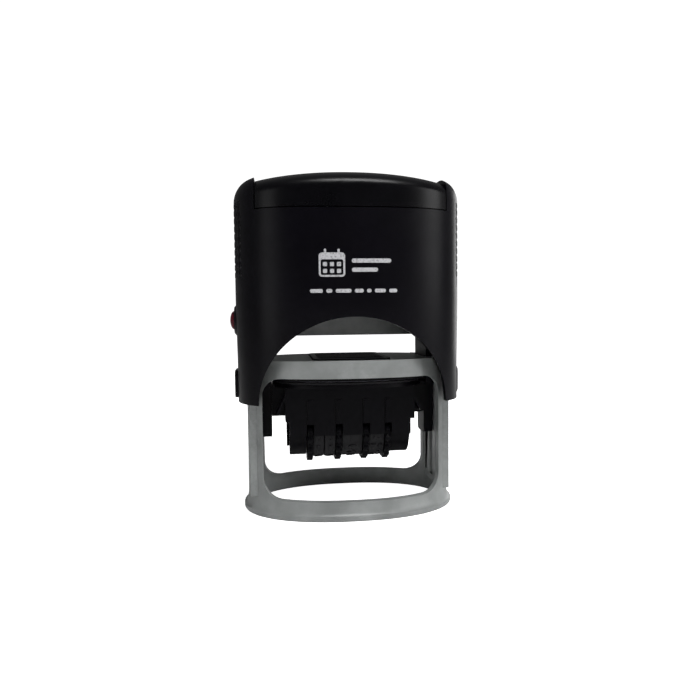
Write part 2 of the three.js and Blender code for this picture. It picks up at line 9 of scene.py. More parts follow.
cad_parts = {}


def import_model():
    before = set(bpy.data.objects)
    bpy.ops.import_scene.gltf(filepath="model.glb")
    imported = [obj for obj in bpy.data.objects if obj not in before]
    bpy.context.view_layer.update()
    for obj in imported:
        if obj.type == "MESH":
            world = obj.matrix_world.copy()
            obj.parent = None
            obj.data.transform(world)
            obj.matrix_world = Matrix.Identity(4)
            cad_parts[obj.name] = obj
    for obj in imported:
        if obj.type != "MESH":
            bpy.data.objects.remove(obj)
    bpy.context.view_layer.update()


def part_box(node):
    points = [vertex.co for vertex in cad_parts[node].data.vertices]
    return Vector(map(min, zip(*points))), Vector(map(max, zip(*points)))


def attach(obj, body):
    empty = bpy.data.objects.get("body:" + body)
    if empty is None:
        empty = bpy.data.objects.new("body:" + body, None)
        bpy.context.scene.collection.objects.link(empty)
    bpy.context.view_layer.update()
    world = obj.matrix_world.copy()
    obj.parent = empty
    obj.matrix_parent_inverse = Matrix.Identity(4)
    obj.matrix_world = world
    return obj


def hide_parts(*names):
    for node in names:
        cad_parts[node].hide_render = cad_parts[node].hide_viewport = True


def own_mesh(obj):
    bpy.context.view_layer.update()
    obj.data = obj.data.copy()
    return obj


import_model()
MM = 0.001


# ---------------- sizes, in millimetres


def span(node):
    """A CAD node's lowest and highest corners in millimetres."""
    low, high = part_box(node)
    return Vector(low) / MM, Vector(high) / MM


CASE_LOW, CASE_HIGH = span("casing")
CAP_LOW, CAP_HIGH = span("index_window")
FRAME_HIGH = span("base_frame")[1]
YOKE_LOW, YOKE_HIGH = span("yoke")
PAD_LOW, PAD_HIGH = span("ink_cartridge")
FELT_LOW, FELT_HIGH = span("ink_felt")
DIE_LOW, DIE_HIGH = span("die_plate")
RUBBER_LOW, RUBBER_HIGH = span("text_rubber")
HOUSING_HIGH = span("mechanism_housing")[1]
SHAFT_LOW, SHAFT_HIGH = span("setting_shaft")
LOCK_LOW, LOCK_HIGH = span("lock_button")

SQUIRCLE = 3.0  # superellipse power of the casing
OVAL = 2.25  # superellipse power of the base and the printing face
CASE_A = 32.6
CASE_B = CASE_HIGH.y
BUTTON_Z = (LOCK_LOW.z + LOCK_HIGH.z) / 2
SHAFT_Z = (SHAFT_LOW.z + SHAFT_HIGH.z) / 2
STROKE = 20.0
FIT = 0.3  # gap beside a piece that slides or turns
SNUG = 0.1  # gap round a pin or a let-in piece
PAST = 1.0  # how far a cutter runs past the face that it opens


# ---------------- outlines


def even(points, count):
    """The closed outline through points, as count points at equal distances."""
    steps = [(points[i] - points[i - 1]).length for i in range(len(points))]
    total = sum(steps)
    result, travelled, index = [], 0.0, 1
    for k in range(count):
        target = total * k / count
        while travelled + steps[index % len(points)] < target:
            travelled += steps[index % len(points)]
            index += 1
        a = points[(index - 1) % len(points)]
        b = points[index % len(points)]
        share = (target - travelled) / max(steps[index % len(points)], 1e-9)
        result.append(a.lerp(b, share))
    return result


def oval(a, b, n=OVAL, count=160):
    """Superellipse |x/a|^n + |y/b|^n = 1 with evenly spaced points."""
    points = []
    dense = count * 8
    for i in range(dense):
        t = 2 * math.pi * i / dense
        c, s = math.cos(t), math.sin(t)
        x = a * math.copysign(abs(c) ** (2 / n), c)
        y = b * math.copysign(abs(s) ** (2 / n), s)
        points.append(Vector((x, y)))
    return even(points, count)


def arc(cx, cy, r, start, end, steps, ry=None):
    """Points on an arc from start to end, in degrees."""
    points = []
    for i in range(steps + 1):
        t = math.radians(start + (end - start) * i / steps)
        points.append(Vector((cx + r * math.cos(t), cy + (ry or r) * math.sin(t))))
    return points


def rounded_rect(x0, x1, y0, y1, r, steps=12):
    """Outline of a rectangle with corners of radius r."""
    return (
        arc(x1 - r, y0 + r, r, -90, 0, steps)
        + arc(x1 - r, y1 - r, r, 0, 90, steps)
        + arc(x0 + r, y1 - r, r, 90, 180, steps)
        + arc(x0 + r, y0 + r, r, 180, 270, steps)
    )


def centred_rect(a, b, r):
    """A rounded rectangle of half width a and half height b round the middle."""
    return rounded_rect(-a, a, -b, b, r)


# ---------------- meshes


def mesh_object(name, verts, faces):
    """A new object from vertices in millimetres, with its faces turned outwards."""
    mesh = bpy.data.meshes.new(name)
    mesh.from_pydata([Vector(v) * MM for v in verts], [], faces)
    bm = bmesh.new()
    bm.from_mesh(mesh)
    bmesh.ops.recalc_face_normals(bm, faces=bm.faces)
    bm.to_mesh(mesh)
    bm.free()
    obj = bpy.data.objects.new(name, mesh)
    bpy.context.scene.collection.objects.link(obj)
    return obj


PLACE = {
    "Z": lambda p, w: (p[0], p[1], w),
    "Y": lambda p, w: (p[0], w, p[1]),
    "X": lambda p, w: (w, p[0], p[1]),
}


def prism(outline, low, high, axis="Z"):
    """An outline drawn across an axis, extruded along it from low to high."""
    n = len(outline)
    verts = [PLACE[axis](p, w) for w in (low, high) for p in outline]
    faces = [(i, (i + 1) % n, n + (i + 1) % n, n + i) for i in range(n)]
    faces += [tuple(range(n)), tuple(range(n, 2 * n))]
    return mesh_object("prism", verts, faces)


def box(x, y, z):
    """A block from its (low, high) pairs."""
    corners = [(x[0], y[0]), (x[1], y[0]), (x[1], y[1]), (x[0], y[1])]
    return prism([Vector(corner) for corner in corners], *z)


def loft(loops, closed=False):
    """Skin over loops of equal length. An open loft gets a face at each end."""
    n = len(loops[0])
    verts = [p for loop in loops for p in loop]
    faces = []
    rows = len(loops) if closed else len(loops) - 1
    for k in range(rows):
        a, b = k * n, ((k + 1) % len(loops)) * n
        faces += [(a + i, a + (i + 1) % n, b + (i + 1) % n, b + i) for i in range(n)]
    if not closed:
        faces += [tuple(range(n)), tuple(range(len(verts) - n, len(verts)))]
    return mesh_object("loft", verts, faces)


def turned(profile, axis, at, steps):
    """A turned shape from (place along the axis, radius) pairs."""
    return loft([[PLACE[axis](p, w) for p in arc(*at, r, 0, 360, steps)[:-1]] for w, r in profile])


def bar(r, low, high, at, axis="X", steps=48, chamfer=0.0):
    """A round bar from low to high along an axis, with chamfered ends if asked."""
    profile = [(low, r), (high, r)]
    if chamfer:
        profile = [(low, r - chamfer), (low + chamfer, r), (high - chamfer, r), (high, r - chamfer)]
    return turned(profile, axis, at, steps)


def baked(obj):
    """Applies the object's modifiers."""
    graph = bpy.context.evaluated_depsgraph_get()
    mesh = bpy.data.meshes.new_from_object(obj.evaluated_get(graph))
    obj.modifiers.clear()
    obj.data = mesh
    return obj


def boolean(obj, tools, operation):
    """Cuts or joins obj with each tool in turn, and uses the tools up."""
    for tool in tools:
        step = obj.modifiers.new("boolean", "BOOLEAN")
        step.operation = operation
        step.solver = "MANIFOLD"
        step.object = tool
        baked(obj)
        bpy.data.objects.remove(tool)
    return obj


def cut(obj, *tools):
    return boolean(obj, tools, "DIFFERENCE")


def join(obj, *tools):
    return boolean(obj, tools, "UNION")


def both_sides(make):
    """The same tool made on the right (1) and on the left (-1)."""
    return [make(1), make(-1)]


def side_range(side, low, high):
    """A span of X measured outwards from the middle, on the right (1) or the left (-1)."""
    return (low, high) if side > 0 else (-high, -low)


def shade(obj, angle=35):
    """Smooth shading with sharp edges above an angle in degrees."""
    for face in obj.data.polygons:
        face.use_smooth = True
    obj.data.set_sharp_from_angle(angle=math.radians(angle))
    return obj


def tidy(obj):
    """Merges slivers that a cut leaves, and flat triangles into faces."""
    bm = bmesh.new()
    bm.from_mesh(obj.data)
    bmesh.ops.remove_doubles(bm, verts=bm.verts, dist=0.004 * MM)
    bmesh.ops.dissolve_limit(
        bm, angle_limit=math.radians(0.4), verts=bm.verts, edges=bm.edges, delimit={"NORMAL"}
    )
    bm.to_mesh(obj.data)
    bm.free()


def soften(obj, width, segments=2):
    """Rounds the sharp edges, as a mould does."""
    tidy(obj)
    bevel = obj.modifiers.new("bevel", "BEVEL")
    bevel.width = width * MM
    bevel.segments = segments
    bevel.limit_method = "ANGLE"
    bevel.angle_limit = math.radians(32)
    bevel.miter_outer = "MITER_ARC"
    baked(obj)
    shade(obj)
    normals = obj.modifiers.new("normals", "WEIGHTED_NORMAL")
    normals.keep_sharp = True
    return baked(obj)


def place(obj, name, body, slot, *nodes):
    """Names a finished piece, gives it its material, and sets what it rides on and stands for."""
    obj.name = name
    obj.data.name = name
    obj.data.materials.clear()
    obj.data.materials.append(MATERIALS[slot])
    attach(obj, body)
    if nodes:
        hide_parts(*nodes)


# ---------------- materials


class Nodes:
    """Short calls for building the node tree of a new material, or of a new world."""

    SURFACE = {"materials": "Principled BSDF", "worlds": "Background"}

    def __init__(self, name, kind="materials"):
        self.owner = getattr(bpy.data, kind).new(name)
        self.owner.use_nodes = True
        self.tree = self.owner.node_tree
        self.surface = self.tree.nodes[self.SURFACE[kind]]
        self.coordinates = self.add("ShaderNodeTexCoord").outputs

    def add(self, kind, **settings):
        node = self.tree.nodes.new(kind)
        for key, value in settings.items():
            setattr(node, key, value)
        return node

    def link(self, source, target):
        self.tree.links.new(source, target)

    def noise(self, scale, detail=4.0, rough=0.55, stretch=None):
        node = self.add("ShaderNodeTexNoise")
        node.inputs["Scale"].default_value = scale
        node.inputs["Detail"].default_value = detail
        node.inputs["Roughness"].default_value = rough
        source = self.coordinates["Object"]
        if stretch:
            mapping = self.add("ShaderNodeMapping")
            mapping.inputs["Scale"].default_value = stretch
            self.link(source, mapping.inputs["Vector"])
            source = mapping.outputs["Vector"]
        self.link(source, node.inputs["Vector"])
        return node.outputs["Fac"]

    def remap(self, value, low, high, to_low, to_high):
        node = self.add("ShaderNodeMapRange")
        keys = ("From Min", "From Max", "To Min", "To Max")
        for key, number in zip(keys, (low, high, to_low, to_high)):
            node.inputs[key].default_value = number
        self.link(value, node.inputs["Value"])
        return node.outputs["Result"]

    def math(self, operation, a, b):
        node = self.add("ShaderNodeMath", operation=operation)
        for socket, value in zip(node.inputs, (a, b)):
            if isinstance(value, (int, float)):
                socket.default_value = value
            else:
                self.link(value, socket)
        return node.outputs["Value"]

    def mix(self, factor, a, b):
        node = self.add("ShaderNodeMix", data_type="RGBA")
        self.link(factor, node.inputs["Factor"])
        for key, value in (("A", a), ("B", b)):
            socket = [s for s in node.inputs if s.name == key and s.type == "RGBA"][0]
            if isinstance(value, tuple):
                socket.default_value = (*value, 1.0)
            else:
                self.link(value, socket)
        return [s for s in node.outputs if s.type == "RGBA"][0]

    def bump(self, height, distance, normal=None):
        node = self.add("ShaderNodeBump")
        node.inputs["Strength"].default_value = 1.0
        node.inputs["Distance"].default_value = distance
        self.link(height, node.inputs["Height"])
        if normal is not None:
            self.link(normal, node.inputs["Normal"])
        return node.outputs["Normal"]

    def edges(self):
        """1 on convex edges, 0 elsewhere."""
        geometry = self.add("ShaderNodeNewGeometry")
        return self.remap(geometry.outputs["Pointiness"], 0.52, 0.62, 0.0, 1.0)

    def set(self, key, value):
        socket = self.surface.inputs[key]
        if isinstance(value, tuple):
            socket.default_value = (*value, 1.0)
        elif isinstance(value, (int, float)):
            socket.default_value = value
        else:
            self.link(value, socket)


def plastic(name, color, rough, grain, wear, specular=0.5, coat=0.0):
    """Moulded plastic: fine mould grain, faint blotches of colour and gloss, paler worn edges."""
    n = Nodes(name)
    blotch = n.noise(90.0, 5.0)
    dust = n.noise(900.0, 2.0)
    darker = tuple(c * 0.82 for c in color)
    lighter = tuple(min(1.0, c * 1.2 + 0.0003) for c in color)
    worn = tuple(min(1.0, c * 1.5 + 0.01) for c in color)
    tone = n.mix(n.remap(blotch, 0.35, 0.65, 0.0, 1.0), darker, lighter)
    edge = n.math("MULTIPLY", n.edges(), n.remap(dust, 0.4, 0.7, 0.2 * wear, wear))
    n.set("Base Color", n.mix(edge, tone, worn))
    smear = n.noise(40.0, 6.0, 0.65)
    n.set("Roughness", n.remap(smear, 0.3, 0.7, rough * 0.86, min(1.0, rough * 1.16)))
    n.set("Specular IOR Level", specular)
    n.set("Coat Weight", coat)
    n.set("Coat Roughness", 0.04)
    fine = n.bump(n.noise(3500.0, 3.0), grain * MM)
    n.set("Normal", n.bump(blotch, 0.01 * MM, fine))
    return n.owner


def soft_rubber(name, color, rough=0.65):
    """Moulded rubber: matt, a little powdery, finely pitted."""
    n = Nodes(name)
    dust = n.noise(700.0)
    powder = tuple(min(1.0, c * 1.6 + 0.003) for c in color)
    n.set("Base Color", n.mix(n.remap(dust, 0.4, 0.75, 0.0, 0.7), color, powder))
    n.set("Roughness", n.remap(dust, 0.3, 0.7, rough * 0.85, min(1.0, rough * 1.2)))
    n.set("Specular IOR Level", 0.25)
    n.set("Normal", n.bump(n.noise(2500.0), 0.03 * MM))
    return n.owner


def felt(name, color):
    """Inked felt: matted fibres, darker and wetter in patches."""
    n = Nodes(name)
    fibre = n.noise(1800.0, 8.0, 0.7, (1.0, 0.35, 1.0))
    wet = n.noise(110.0)
    pale = tuple(c * 2.5 + 0.01 for c in color)
    n.set("Base Color", n.mix(n.remap(fibre, 0.35, 0.7, 0.0, 1.0), color, pale))
    n.set("Roughness", n.remap(wet, 0.35, 0.65, 0.45, 0.95))
    n.set("Sheen Weight", 0.3)
    n.set("Normal", n.bump(fibre, 0.15 * MM))
    return n.owner


def steel(name, color):
    """Drawn steel wire or pin: fine lines along the draw, slight tarnish."""
    n = Nodes(name)
    lines = n.noise(2600.0, 4.0, 0.6, (0.05, 1.0, 1.0))
    tarnish = n.noise(220.0)
    dull = tuple(c * 0.62 for c in color)
    n.set("Base Color", n.mix(n.remap(tarnish, 0.45, 0.75, 0.0, 1.0), color, dull))
    n.set("Metallic", 1.0)
    n.set("Roughness", n.remap(lines, 0.3, 0.7, 0.2, 0.42))
    n.set("Normal", n.bump(lines, 0.008 * MM))
    return n.owner


def card(name, color):
    """Uncoated card with paper fibre."""
    n = Nodes(name)
    fibre = n.noise(1500.0, 8.0, 0.7, (1.0, 0.5, 1.0))
    darker = tuple(c * 0.86 for c in color)
    n.set("Base Color", n.mix(n.remap(fibre, 0.35, 0.65, 0.0, 1.0), darker, color))
    n.set("Roughness", 0.85)
    n.set("Normal", n.bump(fibre, 0.02 * MM))
    return n.owner


def silver_ink(name):
    """Hot-foil print: dull silver with small gaps in the foil."""
    n = Nodes(name)
    flake = n.noise(2200.0, 3.0)
    gap, foil = (0.22, 0.22, 0.23), (0.5, 0.5, 0.52)
    n.set("Base Color", n.mix(n.remap(flake, 0.3, 0.5, 0.0, 1.0), gap, foil))
    n.set("Metallic", 0.2)
    n.set("Roughness", 0.5)
    n.set("Normal", n.bump(flake, 0.01 * MM))
    return n.owner


MATERIALS = {
    "satin_black": plastic(
        "satin_black_plastic", (0.0016, 0.0013, 0.0026), 0.34, grain=0.012, wear=0.1, specular=0.1
    ),
    "gloss_black": plastic(
        "gloss_black_plastic", (0.0016, 0.0015, 0.0022), 0.28, grain=0.002, wear=0.05, specular=0.12
    ),
    "black_plastic": plastic(
        "works_black_plastic", (0.0012, 0.001, 0.002), 0.36, grain=0.01, wear=0.1, specular=0.08
    ),
    "grey_plastic": plastic("grey_plastic", (0.2, 0.21, 0.207), 0.4, grain=0.02, wear=0.3),
    "red_plastic": plastic(
        "red_plastic", (0.09, 0.004, 0.012), 0.32, grain=0.006, coat=0.05, specular=0.15, wear=0.1
    ),
    "band_rubber": soft_rubber("band_rubber", (0.0045, 0.0042, 0.0055), 0.5),
    "print_rubber": soft_rubber("print_rubber", (0.009, 0.0085, 0.01)),
    "ink_felt": felt("inked_felt", (0.006, 0.006, 0.01)),
    "spring_steel": steel("drawn_steel", (0.56, 0.57, 0.59)),
    "card": card("index_card", (0.62, 0.62, 0.58)),
}


# ---------------- base frame

TUBE_A, TUBE_B = 30.0, 19.3
TUBE_WALL = 2.1
FLARE_Z = (1.3, 5.4)
RING_TOP = 5.0
WINDOW_HALF, WINDOW_TOP, WINDOW_R = 25.4, 39.1, 5.5
DECK_TOP, DECK_PLATE, DECK_BACK = 44.0, 1.8, 12.0
BRIDGE_UNDER, BRIDGE_TOP = 57.0, FRAME_HIGH.z
BRIDGE_HALF, BRIDGE_D = 29.6, 12.0
SKIRT_LOW, SKIRT_Y = 50.2, (8.0, 10.5)
GUIDE_X, GUIDE_HALF = 26.0, 9.5
LEG_X = (YOKE_HIGH.x - 2.71, YOKE_HIGH.x)
LEG_HALF = 7.0
AXLE_R, AXLE_Z = 1.6, 28.75
SPRING_X, SPRING_R, SPRING_WIRE, SPRING_TURNS = 14.0, 3.4, 0.35, 6
SPRING_SEAT = 58.6
PAD_HALF = PAD_HIGH.x
GRIP_HALF, GRIP_FRONT = 10.8, 16.8
TRAY_B, TRAY_HOLLOW_B = 17.0, 15.6


def swept_oval(profile):
    """A closed profile of (half width, half depth, height) carried round the base's oval."""
    return loft([[(*p, z) for p in oval(a, b)] for a, b, z in profile], closed=True)


def frame_shell():
    """Flared foot and oval tube with a wide window through front and back."""
    flare_a = FRAME_HIGH.x - TUBE_A
    flare_b = FRAME_HIGH.y - TUBE_B
    flare_low, flare_top = FLARE_Z
    foot = [(0.8, 0.0), (1.0, 0.35), (1.0, flare_low)]
    steps = 8
    for k in range(1, steps + 1):
        t = math.radians(90 * k / steps)
        foot.append((1 - math.sin(t), flare_top - (flare_top - flare_low) * math.cos(t)))
    profile = [(TUBE_A + share * flare_a, TUBE_B + share * flare_b, z) for share, z in foot]
    profile.append((TUBE_A, TUBE_B, DECK_TOP))
    inner_a, inner_b = TUBE_A - TUBE_WALL, TUBE_B - TUBE_WALL
    lead = 0.5
    profile += [(inner_a, inner_b, DECK_TOP), (inner_a, inner_b, 0.6)]
    profile.append((inner_a + lead, inner_b + lead, 0.0))
    window = rounded_rect(-WINDOW_HALF, WINDOW_HALF, RING_TOP, WINDOW_TOP, WINDOW_R, 16)
    depth = FRAME_HIGH.y + PAST
    return soften(cut(swept_oval(profile), prism(window, -depth, depth, "Y")), 0.55, 3)


def guide(side):
    """Upright that the yoke's leg slides along, with shallow grooves and a track for the axle pin."""
    groove_y, groove_half, groove_deep, track_deep = 6.2, 0.9, 0.5, 1.6
    body = box(side_range(side, GUIDE_X, TUBE_A - 1), (-GUIDE_HALF, GUIDE_HALF), (RING_TOP, DECK_TOP))
    across = side_range(side, GUIDE_X - PAST, GUIDE_X + groove_deep)
    grooves = [
        box(across, (y - groove_half, y + groove_half), (RING_TOP + 2, DECK_TOP - 8))
        for y in (-groove_y, groove_y)
    ]
    half = AXLE_R + FIT
    across = side_range(side, GUIDE_X - PAST, GUIDE_X + track_deep)
    track = box(across, (-half, half), (AXLE_Z - STROKE - half, AXLE_Z + half))
    return cut(body, *grooves, track)


def leg_slots(low, high):
    """Cutters for the slots that the yoke's legs pass through."""
    reach = LEG_HALF + FIT
    return both_sides(
        lambda side: box(side_range(side, LEG_X[0] - FIT, LEG_X[1] + FIT), (-reach, reach), (low, high))
    )


def deck():
    """Roof of the pad bay. The bay and the grip's channel are open at the back."""
    inside = prism(oval(TUBE_A - 1, TUBE_B - 1), WINDOW_TOP, DECK_TOP)
    half = PAD_HALF + FIT
    back = FRAME_HIGH.y
    low, top = WINDOW_TOP - PAST, DECK_TOP + PAST
    corner = 3.0
    channel = rounded_rect(
        -GRIP_HALF - FIT, GRIP_HALF + FIT, -GRIP_FRONT - FIT, back + corner + PAST, corner
    )
    return cut(
        inside,
        box((-half, half), (-back, back), (low, DECK_TOP - DECK_PLATE)),
        box((-half, half), (DECK_BACK, back), (low, top)),
        prism(channel, WINDOW_TOP, top),
        *leg_slots(low, top),
    )


def bridge():
    """Beam under the casing that the springs stand on, its two posts and the skirt at the back."""
    sunk = 1.0
    outline = prism(oval(BRIDGE_HALF, TUBE_B, SQUIRCLE), DECK_TOP - sunk, BRIDGE_TOP)
    whole = box((-BRIDGE_HALF, BRIDGE_HALF), (-BRIDGE_D, BRIDGE_D), (BRIDGE_UNDER, BRIDGE_TOP))
    skirt = box((-BRIDGE_HALF, BRIDGE_HALF), SKIRT_Y, (SKIRT_LOW, BRIDGE_UNDER + sunk))
    posts = both_sides(
        lambda side: box(
            side_range(side, LEG_X[1] + FIT, BRIDGE_HALF),
            (-SKIRT_Y[1], SKIRT_Y[1]),
            (DECK_TOP - sunk, BRIDGE_UNDER + sunk),
        )
    )
    well_r = SPRING_R + 0.8
    wells = both_sides(
        lambda side: bar(well_r, SPRING_SEAT - SNUG, BRIDGE_TOP + PAST, (side * SPRING_X, 0), "Z")
    )
    whole = join(whole, skirt, *posts)
    whole = boolean(whole, [outline], "INTERSECT")
    return cut(whole, *leg_slots(DECK_TOP - 2 * PAST, BRIDGE_TOP + PAST), *wells)


def base_frame():
    half = PAD_HALF + FIT
    bay = box((-half, half), (1, FRAME_HIGH.y + PAST), (WINDOW_TOP - PAST, DECK_TOP + PAST))
    shell = cut(frame_shell(), bay)
    shell = join(shell, *both_sides(guide), deck(), bridge())
    place(soften(shell, 0.25), "frame_shell", "frame", "grey_plastic", "base_frame")


# ---------------- ink pad and springs


def thumb_grip(low, inner_a):
    """Block that stands up through the deck, sunk inside its rim, with ribs across it."""
    grip = prism(
        rounded_rect(-GRIP_HALF, GRIP_HALF, -GRIP_FRONT + 0.6, DECK_BACK + 1, 2.6), low - 1, PAD_HIGH.z
    )
    room = prism(oval(inner_a, GRIP_FRONT), low - 2, PAD_HIGH.z + PAST)
    grip = boolean(grip, [room], "INTERSECT")
    rim = 1.4
    dip = rounded_rect(-GRIP_HALF + rim, GRIP_HALF - rim, -GRIP_FRONT + 3, DECK_BACK - 3, 1.8)
    grip = cut(grip, prism(dip, DECK_TOP - 0.8, PAD_HIGH.z + PAST))
    reach, rib = GRIP_HALF - 1, 0.55
    ribs = [
        prism(rounded_rect(-reach, reach, y - rib, y + rib, 0.5), DECK_TOP - 1, PAD_HIGH.z)
        for y in range(-10, 6, 3)
    ]
    return [grip, *ribs]


def ink_cartridge():
    """Pad tray with a ribbed thumb grip on top and a pull handle at the back."""
    top = DECK_TOP - DECK_PLATE - FIT
    low = PAD_LOW.z
    inner_a = TUBE_A - TUBE_WALL - FIT
    front = prism(oval(inner_a, TRAY_B), low, top)
    front_room = box((-PAD_HALF, PAD_HALF), (-TRAY_B - PAST, DECK_BACK + 2 * FIT), (0, top + PAST))
    front = boolean(front, [front_room], "INTERSECT")
    handle = prism(oval(TUBE_A, PAD_HIGH.y), low, DECK_TOP - SNUG)
    handle_room = box((-PAD_HALF, PAD_HALF), (DECK_BACK + FIT, PAD_HIGH.y + PAST), (0, DECK_TOP + PAST))
    handle = boolean(handle, [handle_room], "INTERSECT")
    hollow = prism(oval(PAD_HALF + 6, TRAY_HOLLOW_B), low - PAST, FELT_HIGH.z + SNUG)
    grip_pieces = thumb_grip(top, inner_a)
    tray = cut(join(front, handle), hollow)
    hold_y = 15.9
    finger_hold = prism([p + Vector((0, hold_y)) for p in oval(9.0, 2.6)], DECK_TOP - 1.2, DECK_TOP + PAST)
    tray = cut(join(tray, *grip_pieces), finger_hold)
    place(soften(tray, 0.22), "pad_cartridge", "pad", "black_plastic", "ink_cartridge")


def ink_felt():
    """Felt pad: a slab with a soft rim and a slightly uneven face."""
    a, b = FELT_HIGH.x, FELT_HIGH.y
    low, high = FELT_LOW.z, FELT_HIGH.z
    shares = [0.12, 0.3, 0.48, 0.65, 0.8, 0.92, 0.985]
    rows = [(share, low) for share in shares]
    rows += [(1.0, low + 0.5), (1.0, high - 0.4), (0.97, high)]
    rows += [(share, high) for share in (0.6, 0.2)]
    loops = []
    for share, z in rows:
        loop = []
        for p in oval(a * share, b * share, OVAL, 120):
            swell = noise.noise(Vector((p.x * 0.9, p.y * 0.9, z)))
            lift = 0.1 + 0.09 * swell if z == low else 0.0
            loop.append((p.x, p.y, z + lift))
        loops.append(loop)
    place(shade(loft(loops)), "felt_pad", "pad", "ink_felt", "ink_felt")


def sweep(path, radius):
    """A round wire along a path of points."""
    sides = 12
    loops = []
    normal = Vector((0, 0, 1))
    for i, point in enumerate(path):
        ahead = (path[min(i + 1, len(path) - 1)] - path[max(i - 1, 0)]).normalized()
        normal = (normal - ahead * normal.dot(ahead)).normalized()
        other = ahead.cross(normal)
        ring = []
        for k in range(sides):
            t = 2 * math.pi * k / sides
            ring.append(point + (normal * math.cos(t) + other * math.sin(t)) * radius)
        loops.append(ring)
    return loft(loops)


def return_spring(side, word):
    """Compression spring with a closed coil at each end."""
    low = SPRING_SEAT + SPRING_WIRE
    high = ROOF_Z - SNUG - SPRING_WIRE
    closed = 2.2 * SPRING_WIRE
    per_turn = 36
    turns = SPRING_TURNS + 2
    path = []
    for i in range(turns * per_turn + 1):
        turn = i / per_turn
        free = min(max(turn - 1, 0), SPRING_TURNS) / SPRING_TURNS
        ends = min(turn, 1) + max(turn - turns + 1, 0)
        z = low + closed * ends + (high - low - 2 * closed) * free
        t = 2 * math.pi * turn
        path.append(Vector((side * SPRING_X + SPRING_R * math.cos(t), SPRING_R * math.sin(t), z)))
    spring = shade(sweep(path, SPRING_WIRE), 60)
    place(spring, "coil_spring_" + word, "frame", "spring_steel", "return_spring_" + word)
    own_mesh(spring)


# ---------------- casing and cap

CASE_WALL = 2.0
CASE_POINTS = 240
SHOULDER_R = 6.5
TAPER, TAPER_Z = 0.22, (44.0, 60.0)  # the walls lean in by this much between these heights
DOME_Z = 92.3
ROOF_Z = 84.5
SEAT_Z = 89.0
APRON_LOW = CAP_LOW.z
CAP_HALF = CAP_HIGH.x
CAP_END, CAP_WALL = 94.4, 1.5  # top's height at the cap's ends, and its wall
CAP_BROW, CAP_ROUND = DOME_Z - 1.8, 2.4  # where its front starts to curve over, and how squarely
ARCH_A, ARCH_B, ARCH_Z = 26.1, 24.2, 31.8
BUTTON_R, BUTTON_COLLAR = 2.7, 3.4
BUTTON_RIM, BUTTON_PROUD = 4.6, 0.6  # the bezel's radius and how far it stands out
CLIP_HALF, CLIP_DEEP = 5.0, 0.7
CLIP_Z = (32.8, 40.8)
KNURL_Z = (67.0, 88.0)
KNURL_HALF, KNURL_PITCH, KNURL_DEEP = 12.8, 2.2, 0.5


def case_outline(inset):
    return oval(CASE_A - inset, CASE_B - inset, SQUIRCLE, CASE_POINTS)


def case_level(z):
    """The casing's outline at a height: narrower towards the foot, with round shoulders and a dome."""
    taper = TAPER * max(0.0, min(1.0, (TAPER_Z[1] - z) / (TAPER_Z[1] - TAPER_Z[0])))
    shoulder = max(0.0, z - CASE_HIGH.z + SHOULDER_R)
    dome = max(0.0, z - DOME_Z) / (CAP_HIGH.z - DOME_Z)
    a = CASE_A - SHOULDER_R + math.sqrt(max(0.0, SHOULDER_R**2 - shoulder**2)) - taper
    b = CASE_B * math.sqrt(1 - dome**2) - taper
    return [(*p, z) for p in oval(a, b, SQUIRCLE, CASE_POINTS)]


def case_body():
    """Outside of the casing as one skin."""
    levels = [CASE_LOW.z, *TAPER_Z]
    steps = 20
    for k in range(steps + 1):
        levels.append(CASE_HIGH.z - SHOULDER_R * (1 - math.sin(math.pi / 2 * k / steps)))
    return loft([case_level(z) for z in levels])


def arch_front():
    low = CASE_LOW.z - 5
    outline = [Vector((-ARCH_A, low)), Vector((ARCH_A, low))]
    outline += arc(0, ARCH_Z, ARCH_A, 0, 180, 72, ARCH_B)
    return prism(outline, -CASE_B - PAST, 0, "Y")


def arch_back():
    outline = rounded_rect(-ARCH_A, ARCH_A, CASE_LOW.z - 20, ARCH_Z + ARCH_B, 6.0, 16)
    return prism(outline, 0, CASE_B + PAST, "Y")


def case_shell():
    """Hollow casing with the cap's seat, bezels, catch recesses and both openings."""
    half = CAP_HALF + FIT
    deep = (-CASE_B - PAST, CASE_B + PAST)
    above = CASE_HIGH.z + PAST
    apron = box((-half, half), deep, (APRON_LOW - FIT, above))
    apron = cut(apron, prism(case_outline(CAP_WALL), 0, above))
    shell = cut(
        case_body(),
        prism(case_outline(CASE_WALL), 0, ROOF_Z - 1),
        prism(case_outline(2 * CASE_WALL), 0, SEAT_Z - CASE_WALL),
        box((-half, half), deep, (SEAT_Z, above)),
        apron,
    )
    shell = join(shell, *both_sides(button_bezel))
    clip_rooms = both_sides(
        lambda side: box(
            side_range(side, CASE_A - CLIP_DEEP - SNUG, CASE_A + PAST),
            (-CLIP_HALF - SNUG, CLIP_HALF + SNUG),
            (CLIP_Z[0] - SNUG, CLIP_Z[1] + SNUG),
        )
    )
    return cut(shell, arch_front(), arch_back(), *clip_rooms, *both_sides(button_hole))


def at_button(profile, side):
    """A turned shape on a button's axis from (radius, distance from the middle) pairs."""
    return turned([(side * x, r) for r, x in profile], "X", (0, BUTTON_Z), 56)


def button_bezel(side):
    outer = CASE_A + BUTTON_PROUD
    return at_button([(BUTTON_RIM, CASE_A - 1), (BUTTON_RIM, CASE_A), (BUTTON_RIM - 0.7, outer)], side)


def button_hole(side):
    """Stepped bore that keeps the button's collar in, flared at its mouth."""
    lip = CASE_A - 0.2
    r, collar = BUTTON_R + FIT, BUTTON_COLLAR + FIT
    profile = [(collar, CASE_A - CASE_WALL - 3), (collar, lip)]
    profile += [(r, lip), (r, lip + 0.5), (r + 0.6, CASE_A + 1.2)]
    return at_button(profile, side)


